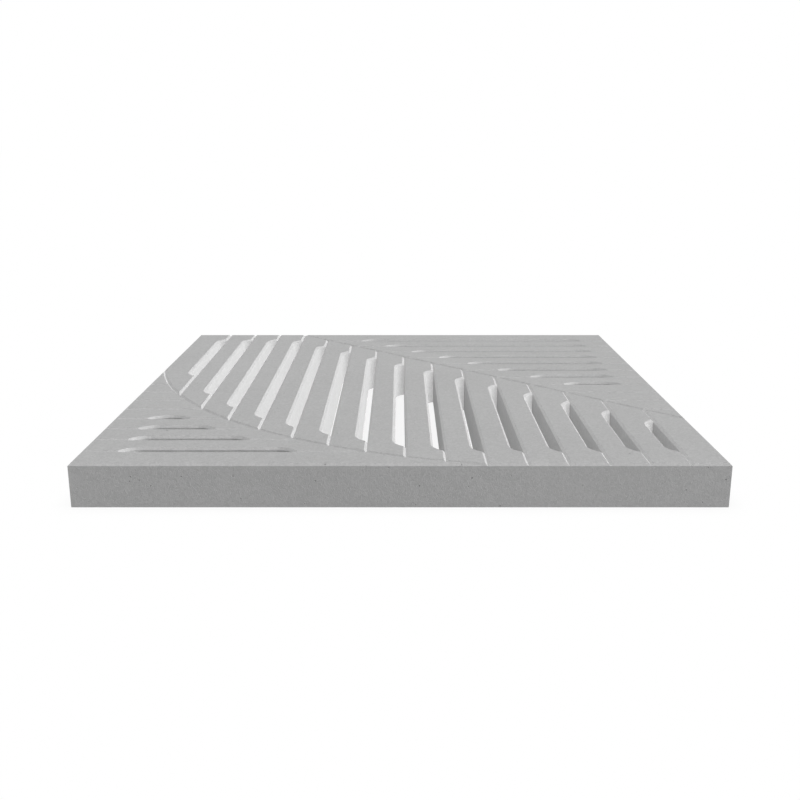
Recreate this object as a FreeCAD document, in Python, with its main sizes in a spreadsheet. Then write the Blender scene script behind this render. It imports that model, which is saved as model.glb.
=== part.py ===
import FreeCAD, Part
import math
import os
import Sketcher

# Square sump cover, cast in one piece. Through slots lie beside a grid of fine V grooves. The grid
# runs lengthwise in a broad diagonal band, and crosswise in the two corners that the band leaves.
# Millimetres, +Z up, the origin at the middle of the underside and the front edge towards -Y.
# The layout is measured from the plate's front left corner, and the finished cover is then moved
# so that its middle is on the origin.

SIZES = {
    "plate_width": 450,
    "plate_length": 450,
    "plate_thickness": 31.5,
    # V grooves, and the bevel on every top edge, have 45 degree sides of this depth
    "groove_depth": 1.75,
    # from the plate's sides to the bevelled outline of the slots
    "edge_margin": 25.25,
    "slot_width": 8,
    "slot_end_radius": 16,
    # groove lines from left to right, and as many from front to back
    "line_count": 15,
    # the curved border groove meets the front edge and the left one this far from their corner
    "front_corner_width": 282.6,
    "front_corner_length": 282.6,
    "front_border_radius": 365.5,
    # the straight border groove meets the back edge and the right one this far from their corner
    "back_corner_width": 332,
    "back_corner_length": 340,
    # from a border groove to the nearest point of the slots beside it, in the band and in the
    # corner that the border closes off
    "front_band_margin": 22.5,
    "front_corner_margin": 22.3,
    "back_band_margin": 22.3,
    "back_corner_margin": 22.7,
    # how far a cutter passes over the plate
    "overrun": 20,
}

doc = FreeCAD.newDocument("SumpCover")
sheet = doc.addObject("Spreadsheet::Sheet", "Sizes")
for row, (alias, size) in enumerate(SIZES.items(), start=1):
    sheet.set(f"A{row}", alias)
    sheet.set(f"B{row}", str(size))
    sheet.setAlias(f"B{row}", alias)
doc.recompute()

# Formulas that several features share
TIP_MARGIN = "(Sizes.edge_margin + Sizes.groove_depth)"
GRID_LOSS = f"(2 * {TIP_MARGIN} + Sizes.slot_width)"
PITCH_X = f"((Sizes.plate_width - {GRID_LOSS}) / (Sizes.line_count - 1))"
PITCH_Y = f"((Sizes.plate_length - {GRID_LOSS}) / (Sizes.line_count - 1))"
GROOVE_FLOOR = "(Sizes.plate_thickness - Sizes.groove_depth)"
END_LENGTH = "sqrt(Sizes.slot_end_radius ^ 2 - (Sizes.slot_end_radius - Sizes.slot_width) ^ 2)"
CHORD = "sqrt(Sizes.front_corner_width ^ 2 + Sizes.front_corner_length ^ 2)"
CHORD_TO_CENTRE = f"sqrt(Sizes.front_border_radius ^ 2 - ({CHORD} / 2) ^ 2)"
CENTRE_X = (f"(Sizes.front_corner_width / 2"
            f" + {CHORD_TO_CENTRE} * Sizes.front_corner_length / {CHORD})")
CENTRE_Y = (f"(Sizes.front_corner_length / 2"
            f" + {CHORD_TO_CENTRE} * Sizes.front_corner_width / {CHORD})")
BORDER_RUN = "sqrt(Sizes.back_corner_width ^ 2 + Sizes.back_corner_length ^ 2)"
BORDER_TURN = "-atan(Sizes.back_corner_length / Sizes.back_corner_width)"
BAR_SIDE = "(2 * Sizes.groove_depth)"

# Directions, and the slope of the sides of every groove and bevel
LENGTHWISE = FreeCAD.Vector(0, 1, 0)
CROSSWISE = FreeCAD.Vector(1, 0, 0)
UP = FreeCAD.Vector(0, 0, 1)
SLOPE = 45
# levels closer than this are the same
LEVEL_TOLERANCE = 1e-6


def value(formula):
    """The number that a formula gives with the sheet's sizes."""
    return float(sheet.evalExpression(formula))


def line_x(number):
    """Place of a lengthwise groove line, counted from the left."""
    return f"({TIP_MARGIN} + Sizes.slot_width + {number - 1} * {PITCH_X})"


def line_y(number):
    """Place of a crosswise groove line, counted from the front."""
    return f"({TIP_MARGIN} + {number - 1} * {PITCH_Y})"


def end_arc_centre(centre, across_centre, across, side, margin):
    """Centre of the end arc of a slot that stops at a margin from the curved border."""
    radius = f"(Sizes.front_border_radius {side} ({margin} + Sizes.slot_end_radius))"
    return f"({centre} - sqrt({radius} ^ 2 - ({across_centre} - {across}) ^ 2))"


def bind(feature, formulas):
    """Bind properties of a feature to formulas."""
    for name, formula in formulas.items():
        feature.setExpression(name, formula)


# Slot outlines

def band_slot_ends(number):
    """Tips of the slot on a lengthwise line, which the borders and the plate's edges limit."""
    place = line_x(number)
    near = TIP_MARGIN
    arc_x = f"({place} - Sizes.slot_width + Sizes.slot_end_radius)"
    if value(arc_x) < value(CENTRE_X):
        arc_y = end_arc_centre(CENTRE_Y, CENTRE_X, arc_x, "-", "Sizes.front_band_margin")
        near = max((near, f"({arc_y} - {END_LENGTH})"), key=value)
    past_corner = f"({place} - Sizes.plate_width + Sizes.back_corner_width)"
    slant = f"(Sizes.back_band_margin * {BORDER_RUN} + Sizes.back_corner_length * {past_corner})"
    border = f"(Sizes.plate_length - {slant} / Sizes.back_corner_width)"
    far = min((f"(Sizes.plate_length - {TIP_MARGIN})", border), key=value)
    return near, far


def front_corner_slot_ends(number):
    """Tips of the slot on a crosswise line in the front left corner."""
    arc_y = f"({line_y(number)} + Sizes.slot_width - Sizes.slot_end_radius)"
    arc_x = end_arc_centre(CENTRE_X, CENTRE_Y, arc_y, "+", "Sizes.front_corner_margin")
    return TIP_MARGIN, f"({arc_x} + {END_LENGTH})"


def back_corner_slot_ends(number):
    """Tips of the slot on a crosswise line in the back right corner."""
    below_edge = f"(Sizes.plate_length - {line_y(number)})"
    slant = f"(Sizes.back_corner_margin * {BORDER_RUN} + Sizes.back_corner_width * {below_edge})"
    near = f"(Sizes.plate_width - Sizes.back_corner_width + {slant} / Sizes.back_corner_length)"
    return near, f"(Sizes.plate_width - {TIP_MARGIN})"


def slot_fits(ends):
    """True where both curved ends have room between the tips."""
    return value(ends[1]) - value(ends[0]) >= 2 * value(END_LENGTH)


def add_slot(sketch, name, lengthwise, place, ends):
    """Add one slot to a sketch: straight on its groove line, with two arcs that curve back to it."""
    near, far = value(ends[0]), value(ends[1])
    width = value("Sizes.slot_width")
    radius = value("Sizes.slot_end_radius")
    turn = math.acos((radius - width) / radius)
    end_length = value(END_LENGTH)

    def point(along, away):
        if lengthwise:
            return FreeCAD.Vector(value(place) - away, along, 0)
        return FreeCAD.Vector(along, value(place) + away, 0)

    def arc(along, start, stop):
        quarter = math.pi / 2 if lengthwise else 0
        circle = Part.Circle(point(along, width - radius), UP, radius)
        return Part.ArcOfCircle(circle, start + quarter, stop + quarter)

    upright = math.pi / 2
    line, far_arc, back, near_arc = sketch.addGeometry([
        Part.LineSegment(point(near, 0), point(far, 0)),
        arc(far - end_length, upright - turn, upright),
        Part.LineSegment(point(far - end_length, width), point(near + end_length, width)),
        arc(near + end_length, upright, upright + turn),
    ], False)
    straight = "Vertical" if lengthwise else "Horizontal"
    along, across = ("DistanceY", "DistanceX") if lengthwise else ("DistanceX", "DistanceY")
    sides = (back, 2, line, 1) if lengthwise else (line, 1, back, 2)
    sketch.addConstraint([
        Sketcher.Constraint("Coincident", line, 2, far_arc, 1),
        Sketcher.Constraint("Tangent", far_arc, 2, back, 1),
        Sketcher.Constraint("Tangent", back, 2, near_arc, 1),
        Sketcher.Constraint("Coincident", near_arc, 2, line, 1),
        Sketcher.Constraint(straight, line),
        Sketcher.Constraint(straight, back),
        Sketcher.Constraint("Equal", far_arc, near_arc),
    ])
    sized = [
        ("place", Sketcher.Constraint(across, -1, 1, line, 1, value(place)), place),
        ("near", Sketcher.Constraint(along, -1, 1, line, 1, near), ends[0]),
        ("far", Sketcher.Constraint(along, -1, 1, line, 2, far), ends[1]),
        ("width", Sketcher.Constraint(across, *sides, width), "Sizes.slot_width"),
        ("end", Sketcher.Constraint("Radius", near_arc, radius), "Sizes.slot_end_radius"),
    ]
    for part_name, constraint, formula in sized:
        index = sketch.addConstraint(constraint)
        sketch.renameConstraint(index, f"{name}_{part_name}")
        sketch.setExpression(f"Constraints.{name}_{part_name}", formula)


# Plate with its slots

def base_plane(body):
    """The body's own horizontal plane."""
    return next(item for item in body.Origin.OriginFeatures if item.Role == "XY_Plane")


def add_sketch(body, name, level):
    """A new sketch on a level plane of the body."""
    sketch = body.newObject("Sketcher::SketchObject", name)
    sketch.AttachmentSupport = [(base_plane(body), "")]
    sketch.MapMode = "FlatFace"
    sketch.setExpression("AttachmentOffset.Base.z", level)
    return sketch


def add_plate(body):
    """Pad of the plate's outline."""
    sketch = add_sketch(body, "PlateOutline", "0")
    width, length = value("Sizes.plate_width"), value("Sizes.plate_length")
    corners = [(0, 0), (width, 0), (width, length), (0, length)]
    points = [FreeCAD.Vector(x, y, 0) for x, y in corners]
    for start, stop in zip(points, points[1:] + points[:1]):
        sketch.addGeometry(Part.LineSegment(start, stop), False)
    for side in range(len(points)):
        straight = "Vertical" if side % 2 else "Horizontal"
        following = (side + 1) % len(points)
        sketch.addConstraint(Sketcher.Constraint("Coincident", side, 2, following, 1))
        sketch.addConstraint(Sketcher.Constraint(straight, side))
    sketch.addConstraint(Sketcher.Constraint("Coincident", 0, 1, -1, 1))
    for name, kind, side, size in (
        ("width", "DistanceX", 0, width),
        ("length", "DistanceY", 1, length),
    ):
        index = sketch.addConstraint(Sketcher.Constraint(kind, side, 1, side, 2, size))
        sketch.renameConstraint(index, name)
        sketch.setExpression(f"Constraints.{name}", f"Sizes.plate_{name}")
    pad = body.newObject("PartDesign::Pad", "PlatePad")
    pad.Profile = sketch
    pad.setExpression("Length", "Sizes.plate_thickness")
    doc.recompute()


def add_bevel(body):
    """Bevel round the plate's top face."""
    plate = body.Tip
    top = value("Sizes.plate_thickness")
    faces = enumerate(plate.Shape.Faces, start=1)
    level = [f"Face{index}" for index, face in faces if top - face.BoundBox.ZMin < LEVEL_TOLERANCE]
    bevel = body.newObject("PartDesign::Chamfer", "TopBevel")
    bevel.Base = (plate, level)
    bevel.setExpression("Size", "Sizes.groove_depth")
    doc.recompute()


def add_pocket(body, name, sketch, settings, formulas):
    """Pocket of a sketch, which has to take something away."""
    before = body.Shape.Volume
    pocket = body.newObject("PartDesign::Pocket", name)
    pocket.Profile = sketch
    for setting, choice in settings.items():
        setattr(pocket, setting, choice)
    bind(pocket, formulas)
    doc.recompute()
    if pocket.Shape.Volume >= before:
        raise RuntimeError(f"{name} cut nothing")


def add_slots(body, name, lengthwise, line_place, slot_ends):
    """The slots that one region of the grid has room for: upright walls under a bevel."""
    all_ends = {number: slot_ends(number) for number in range(1, SIZES["line_count"] + 1)}
    fitting = {number: ends for number, ends in all_ends.items() if slot_fits(ends)}
    if not fitting:
        return
    sketch = add_sketch(body, f"{name}Outlines", GROOVE_FLOOR)
    for number, ends in fitting.items():
        add_slot(sketch, f"slot{number}", lengthwise, line_place(number), ends)
    add_pocket(body, name, sketch, {"Type": "ThroughAll"}, {})
    bevel = {"Type": "Length", "Reversed": True, "TaperAngle": SLOPE}
    add_pocket(body, f"{name}Bevels", sketch, bevel, {"Length": "Sizes.groove_depth"})


def make_slotted_plate():
    """The plate with its bevel and slots, before the grooves."""
    body = doc.addObject("PartDesign::Body", "SlottedPlate")
    add_plate(body)
    add_bevel(body)
    add_slots(body, "BandSlots", True, line_x, band_slot_ends)
    add_slots(body, "FrontCornerSlots", False, line_y, front_corner_slot_ends)
    add_slots(body, "BackCornerSlots", False, line_y, back_corner_slot_ends)
    return body


# V grooves, each cut by the lower edge of a square bar that is turned on to that edge

def make_bar(name, lengthwise, run):
    """A square bar that stands on one long edge."""
    bar = doc.addObject("Part::Box", name)
    along, across = ("Width", "Length") if lengthwise else ("Length", "Width")
    bind(bar, {along: run, across: BAR_SIDE, "Height": BAR_SIDE})
    if lengthwise:
        bar.Placement.Rotation = FreeCAD.Rotation(LENGTHWISE, -SLOPE)
    else:
        bar.Placement.Rotation = FreeCAD.Rotation(CROSSWISE, SLOPE)
    return bar


def make_line_bars(name, lengthwise, line_place):
    """A bar for each groove line of one direction, over the whole plate."""
    size = "plate_length" if lengthwise else "plate_width"
    across, along = ("x", "y") if lengthwise else ("y", "x")
    bars = []
    for number in range(1, SIZES["line_count"] + 1):
        bar = make_bar(f"{name}{number}", lengthwise, f"Sizes.{size} + 2 * Sizes.overrun")
        bind(bar, {
            f"Placement.Base.{across}": line_place(number),
            f"Placement.Base.{along}": "-Sizes.overrun",
            "Placement.Base.z": GROOVE_FLOOR,
        })
        bars.append(bar)
    group = doc.addObject("Part::Compound", name)
    group.Links = bars
    return group


def combine(kind, name, base, tool):
    """A cut or a common of two features."""
    feature = doc.addObject(kind, name)
    feature.Base = base
    feature.Tool = tool
    return feature


def make_front_quarter():
    """Block over the plate, from the front left corner to the curved border's centre."""
    block = doc.addObject("Part::Box", "FrontQuarter")
    bind(block, {
        "Length": f"{CENTRE_X} + Sizes.overrun",
        "Width": f"{CENTRE_Y} + Sizes.overrun",
        "Height": "Sizes.overrun",
        "Placement.Base.x": "-Sizes.overrun",
        "Placement.Base.y": "-Sizes.overrun",
        "Placement.Base.z": "Sizes.plate_thickness - Sizes.overrun / 2",
    })
    return block


def make_front_round(kind, name, sizes, height, floor):
    """A cylinder or cone about the curved border's centre."""
    feature = doc.addObject(kind, name)
    bind(feature, sizes)
    bind(feature, {
        "Height": height,
        "Placement.Base.x": CENTRE_X,
        "Placement.Base.y": CENTRE_Y,
        "Placement.Base.z": floor,
    })
    return feature


def make_front_corner():
    """The room over the front left corner, outside the curved border."""
    inside = make_front_round("Part::Cylinder", "InsideFrontBorder",
                              {"Radius": "Sizes.front_border_radius"},
                              "Sizes.overrun", "Sizes.plate_thickness - Sizes.overrun / 2")
    return combine("Part::Cut", "FrontCorner", make_front_quarter(), inside)


def make_front_border():
    """The ring between two cones that meet on the border groove's floor."""
    cones = []
    for name, side in (("WideningCone", "+"), ("NarrowingCone", "-")):
        radii = {
            "Radius1": "Sizes.front_border_radius",
            "Radius2": f"Sizes.front_border_radius {side} {BAR_SIDE}",
        }
        cones.append(make_front_round("Part::Cone", name, radii, BAR_SIDE, GROOVE_FLOOR))
    ring = combine("Part::Cut", "FrontBorderRing", *cones)
    return combine("Part::Common", "FrontBorder", ring, doc.getObject("FrontQuarter"))


def along_back_border(name, feature):
    """Turn a feature that runs along X into the line of the straight border."""
    past_ends = "(1 + Sizes.overrun / " + BORDER_RUN + ")"
    group = doc.addObject("Part::Compound", name)
    group.Links = [feature]
    group.Placement.Rotation = FreeCAD.Rotation(UP, value(BORDER_TURN))
    bind(group, {
        "Placement.Base.x": f"Sizes.plate_width - Sizes.back_corner_width * {past_ends}",
        "Placement.Base.y": f"Sizes.plate_length + Sizes.back_corner_length * ({past_ends} - 1)",
        "Placement.Rotation.Angle": BORDER_TURN,
    })
    return group


def make_back_corner():
    """The room over the back right corner, outside the straight border."""
    block = doc.addObject("Part::Box", "BackCornerBlock")
    bind(block, {
        "Length": f"{BORDER_RUN} + 2 * Sizes.overrun",
        "Width": BORDER_RUN,
        "Height": "Sizes.overrun",
        "Placement.Base.z": "Sizes.plate_thickness - Sizes.overrun / 2",
    })
    return along_back_border("BackCorner", block)


def make_back_border():
    """The straight border groove's bar."""
    bar = make_bar("BackBorderBar", False, f"{BORDER_RUN} + 2 * Sizes.overrun")
    bar.setExpression("Placement.Base.z", GROOVE_FLOOR)
    return along_back_border("BackBorder", bar)


def make_cover():
    """The slotted plate less its grooves, moved so that its middle is on the origin."""
    plate = make_slotted_plate()
    corners = doc.addObject("Part::Compound", "Corners")
    corners.Links = [make_front_corner(), make_back_corner()]
    lengthwise = combine("Part::Cut", "LengthwiseGrooves",
                         make_line_bars("LengthwiseBar", True, line_x), corners)
    crosswise = combine("Part::Common", "CrosswiseGrooves",
                        make_line_bars("CrosswiseBar", False, line_y), corners)
    cover = plate
    for name, grooves in (
        ("BorderedAtFront", make_front_border()),
        ("BorderedAtBack", make_back_border()),
        ("GroovedLengthwise", lengthwise),
        ("Cover", crosswise),
    ):
        cover = combine("Part::Cut", name, cover, grooves)
    cover.Label = "cover"
    bind(cover, {
        "Placement.Base.x": "-Sizes.plate_width / 2",
        "Placement.Base.y": "-Sizes.plate_length / 2",
    })
    return cover


parts = [make_cover()]
doc.recompute()

for item in doc.Objects:
    if "Invalid" in item.State or "Error" in item.State:
        raise RuntimeError(f"{item.Label} failed: {item.State}")
for item in parts:
    if item.Shape.isNull() or not item.Shape.isValid():
        raise RuntimeError(f"{item.Label} has no valid shape")

os.makedirs("parts", exist_ok=True)
for item in parts:
    item.Shape.exportStep(f"parts/{item.Label}.step")
    print(item.Label, len(item.Shape.Solids), "solid,", round(item.Shape.Volume), "mm3")
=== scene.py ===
import math

import bpy
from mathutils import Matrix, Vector


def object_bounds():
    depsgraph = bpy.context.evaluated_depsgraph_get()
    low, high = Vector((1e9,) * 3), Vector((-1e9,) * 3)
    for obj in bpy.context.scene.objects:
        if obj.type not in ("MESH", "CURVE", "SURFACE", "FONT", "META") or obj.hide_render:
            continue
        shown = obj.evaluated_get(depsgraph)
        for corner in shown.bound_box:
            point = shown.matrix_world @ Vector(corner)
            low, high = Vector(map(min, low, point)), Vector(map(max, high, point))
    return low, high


# Sump cover lying on a white floor. Metres, +Z up, the front edge towards -Y.

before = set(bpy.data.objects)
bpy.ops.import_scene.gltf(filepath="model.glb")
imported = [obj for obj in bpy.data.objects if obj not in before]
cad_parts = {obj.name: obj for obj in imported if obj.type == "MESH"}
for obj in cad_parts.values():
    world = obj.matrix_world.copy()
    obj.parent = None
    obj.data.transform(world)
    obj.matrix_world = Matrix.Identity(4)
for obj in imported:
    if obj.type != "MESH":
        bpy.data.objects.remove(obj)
cad_low, cad_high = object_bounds()

MM = 0.001
WHITE = (1.0, 1.0, 1.0, 1.0)
UP = (0.0, 0.0, 1.0)

# Camera
FIELD_OF_VIEW = 45.0       # degrees
CAMERA_ELEVATION = 15.0    # degrees above the horizon, looking along +Y
CAMERA_ROOM = 1.05         # distance, as a multiple of the one that just fits the bounding sphere

# Lamps: light is about how bright a lamp makes a white surface that faces it, sizes in degrees
OVERHEAD_LIGHT = 0.809
OVERHEAD_SIZE = 60.0
FILL_SIZE = 10.0
FILLS = {                  # direction towards the lamp and light
    "fill_right": ((0.98, -0.17, 0.00), 1.04),
    "fill_front": ((0.39, -0.92, 0.00), 0.28),
    "fill_back": ((0.70, 0.56, -0.45), 0.615),
    "fill_left": ((-0.90, 0.23, -0.37), 0.535),
}
WORLD_LIGHT = 0.20         # strength of the pale surroundings

# Floor
FLOOR_HALF = 30.0          # metres from the middle to a side
FLOOR_BOUNCE = 0.20        # its colour for the light that it throws on the cover
FLOOR_COLOUR = 0.97        # its colour for the camera
FLOOR_GLOW = 0.88          # share of plain white in what the camera sees of the floor

# Cast stone: lengths in millimetres, tones as shares of its grey, detail as a number of finer layers
STONE_GREY = 0.415
STONE_SHINE = 0.12         # specular level
STONE_ROUGHNESS = 0.78
ROUGHNESS_SPREAD = 0.05    # how far its roughness goes up and down
ROUGHNESS_DETAIL = 3
CLOUD_SIZE, CLOUD_TONE, CLOUD_DETAIL = 90.0, 0.022, 3
PATCH_SIZE, PATCH_TONE, PATCH_DETAIL = 14.0, 0.018, 4
SAND_SIZE, SAND_TONE, SAND_DETAIL = 0.9, 0.055, 2
GRAIN_SIZE, GRAIN_TONE = 1.6, 0.07
LAYER_SHARE = 0.55         # strength of each finer layer of noise, as a share of the one before
NOISE_FROM = 0.3           # the range that most of a noise's values are in
NOISE_TO = 0.7
PORE_SPACING = 7.0
PORE_START = 0.5           # cells with a random value above this, about half of them, have a pore
PORE_RADIUS = 0.9          # of the largest pore
PORE_EDGE = 0.15           # over which it gets deep
PORE_PAINTED_SHADE = 0.35           # painted shade: how much darker the colour is made inside a pore, for the shade that falls in the hole
RELIEF = 0.35              # depth of a pore; sand and grains rise by their tones' share of it


def add(tree, kind, inputs=None, **settings):
    """A node with its settings, whose inputs are set to values or linked to other nodes' outputs."""
    made = tree.nodes.new(kind)
    for name, setting in settings.items():
        setattr(made, name, setting)
    for name, source in (inputs or {}).items():
        if isinstance(source, bpy.types.NodeSocket):
            tree.links.new(source, made.inputs[name])
        else:
            made.inputs[name].default_value = source
    return made


def calculate(tree, operation, *terms):
    """The result of a Math node."""
    return add(tree, "ShaderNodeMath", dict(enumerate(terms)), operation=operation).outputs[0]


def spread(tree, value, low, high, start=0.0, end=1.0):
    """A value from start to end spread over low to high, and kept between them."""
    return add(tree, "ShaderNodeMapRange", {
        "Value": value, "From Min": start, "From Max": end, "To Min": low, "To Max": high,
    }).outputs["Result"]


def seen_directly(tree):
    """1 for what the camera sees, also by reflection or through glass, and 0 for other light."""
    path = add(tree, "ShaderNodeLightPath").outputs
    mirrored = calculate(tree, "MAXIMUM", path["Is Glossy Ray"], path["Is Transmission Ray"])
    return calculate(tree, "MAXIMUM", path["Is Camera Ray"], mirrored)


def empty_tree(owner):
    """The owner's node tree, cleared."""
    owner.use_nodes = True
    owner.node_tree.nodes.clear()
    return owner.node_tree


# Cast stone

def noise(tree, place, size, detail, low, high):
    """Noise of a feature size in millimetres, from low to high."""
    made = add(tree, "ShaderNodeTexNoise", {
        "Vector": place, "Scale": 1 / (size * MM), "Detail": detail, "Roughness": LAYER_SHARE,
    })
    return spread(tree, made.outputs["Fac"], low, high, start=NOISE_FROM, end=NOISE_TO)


def cells(tree, place, spacing):
    """Cells about a spacing in millimetres apart, with random colours and distances to middles."""
    scale = 1 / (spacing * MM)
    return add(tree, "ShaderNodeTexVoronoi", {"Vector": place, "Scale": scale}).outputs


def pinholes(tree, place):
    """From 0 outside the pores to 1 deep inside them. They have any size up to the largest."""
    pores = cells(tree, place, PORE_SPACING)
    radius = spread(tree, pores["Color"], 0.0, PORE_RADIUS / PORE_SPACING, start=PORE_START)
    inside = calculate(tree, "SUBTRACT", radius, pores["Distance"])
    return spread(tree, inside, 0.0, 1.0, end=PORE_EDGE / PORE_SPACING)


def make_stone():
    """Fine-grained cast stone: faint cloudy patches, sand, small grains and few pinholes, with
    painted shade inside the pinholes.
    """
    material = bpy.data.materials.new("cast_stone")
    tree = empty_tree(material)
    place = add(tree, "ShaderNodeTexCoord").outputs["Object"]

    clouds = noise(tree, place, CLOUD_SIZE, CLOUD_DETAIL, -CLOUD_TONE, CLOUD_TONE)
    patches = noise(tree, place, PATCH_SIZE, PATCH_DETAIL, -PATCH_TONE, PATCH_TONE)
    sand = noise(tree, place, SAND_SIZE, SAND_DETAIL, -SAND_TONE, SAND_TONE)
    grains = spread(tree, cells(tree, place, GRAIN_SIZE)["Color"], -GRAIN_TONE, GRAIN_TONE)
    pore = pinholes(tree, place)

    # Painted shade inside the pinholes, then the stone's own cloudy, patchy, sandy and grainy tones
    tone = calculate(tree, "MULTIPLY", pore, -PORE_PAINTED_SHADE)
    for share in (clouds, patches, sand, grains, 1.0):
        tone = calculate(tree, "ADD", tone, share)
    colour = add(tree, "ShaderNodeVectorMath", {
        "Vector": (STONE_GREY,) * 3, "Scale": tone,
    }, operation="SCALE").outputs["Vector"]

    height = calculate(tree, "SUBTRACT", calculate(tree, "ADD", sand, grains), pore)
    bump = add(tree, "ShaderNodeBump", {"Height": height, "Distance": RELIEF * MM})
    smoothest = STONE_ROUGHNESS - ROUGHNESS_SPREAD
    roughest = STONE_ROUGHNESS + ROUGHNESS_SPREAD
    roughness = noise(tree, place, PATCH_SIZE, ROUGHNESS_DETAIL, smoothest, roughest)
    shader = add(tree, "ShaderNodeBsdfPrincipled", {
        "Base Color": colour, "Roughness": roughness, "Normal": bump.outputs["Normal"],
        "Specular IOR Level": STONE_SHINE,
    })
    add(tree, "ShaderNodeOutputMaterial", {"Surface": shader.outputs["BSDF"]})
    return material


def dress_cover():
    """Give the cover its stone."""
    stone = make_stone()
    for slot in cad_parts["cover"].material_slots:
        slot.material = stone


# Floor, world, lamps and camera

def make_paper():
    """Paper for the floor: mostly plain white to the camera, and grey to all other light."""
    material = bpy.data.materials.new("floor")
    tree = empty_tree(material)
    seen = seen_directly(tree)
    colour = spread(tree, seen, FLOOR_BOUNCE, FLOOR_COLOUR)
    paper = add(tree, "ShaderNodeBsdfDiffuse", {"Color": colour})
    glow = add(tree, "ShaderNodeEmission", {"Color": WHITE, "Strength": 1.0})
    share = calculate(tree, "MULTIPLY", seen, FLOOR_GLOW)
    mixed = add(tree, "ShaderNodeMixShader", {
        0: share, 1: paper.outputs["BSDF"], 2: glow.outputs["Emission"],
    })
    add(tree, "ShaderNodeOutputMaterial", {"Surface": mixed.outputs["Shader"]})
    return material


def make_floor():
    """White floor under the cover that keeps its soft shadow."""
    half = FLOOR_HALF
    corners = [(-half, -half, 0.0), (half, -half, 0.0), (half, half, 0.0), (-half, half, 0.0)]
    mesh = bpy.data.meshes.new("floor")
    mesh.from_pydata(corners, [], [(0, 1, 2, 3)])
    floor = bpy.data.objects.new("floor", mesh)
    bpy.context.scene.collection.objects.link(floor)
    floor.location.z = cad_low.z
    mesh.materials.append(make_paper())


def make_world():
    """White to the camera, and a plain soft light on everything else."""
    world = bpy.data.worlds.new("studio")
    bpy.context.scene.world = world
    tree = empty_tree(world)
    strength = spread(tree, seen_directly(tree), WORLD_LIGHT, 1.0)
    sky = add(tree, "ShaderNodeBackground", {"Color": WHITE, "Strength": strength})
    add(tree, "ShaderNodeOutputWorld", {"Surface": sky.outputs["Background"]})


def make_lamp(name, towards, light, size):
    """A distant lamp."""
    lamp = bpy.data.lights.new(name, "SUN")
    lamp.energy = light * math.pi
    lamp.angle = math.radians(size)
    made = bpy.data.objects.new(name, lamp)
    made.rotation_euler = Vector(towards).to_track_quat("Z", "Y").to_euler()
    bpy.context.scene.collection.objects.link(made)
    return lamp


def make_lamps():
    """A large lamp overhead, and fills without shadows or bounces, which reach into the slots."""
    make_lamp("overhead", UP, OVERHEAD_LIGHT, OVERHEAD_SIZE)
    for name, (towards, light) in FILLS.items():
        fill = make_lamp(name, towards, light, FILL_SIZE)
        fill.use_shadow = False
        fill.cycles.max_bounces = 0


def make_camera():
    """The camera, aimed at the middle of the cover."""
    lens = bpy.data.cameras.new("camera")
    lens.angle = math.radians(FIELD_OF_VIEW)
    camera = bpy.data.objects.new("camera", lens)
    middle = (cad_low + cad_high) / 2
    radius = (cad_high - cad_low).length / 2
    distance = CAMERA_ROOM * radius / math.sin(lens.angle / 2)
    elevation = math.radians(CAMERA_ELEVATION)
    outwards = Vector((0.0, -math.cos(elevation), math.sin(elevation)))
    camera.location = middle + distance * outwards
    camera.rotation_euler = (math.pi / 2 - elevation, 0.0, 0.0)
    bpy.context.scene.collection.objects.link(camera)
    bpy.context.scene.camera = camera


make_camera()
dress_cover()
make_floor()
make_world()
make_lamps()
bpy.context.scene.view_settings.view_transform = "Standard"
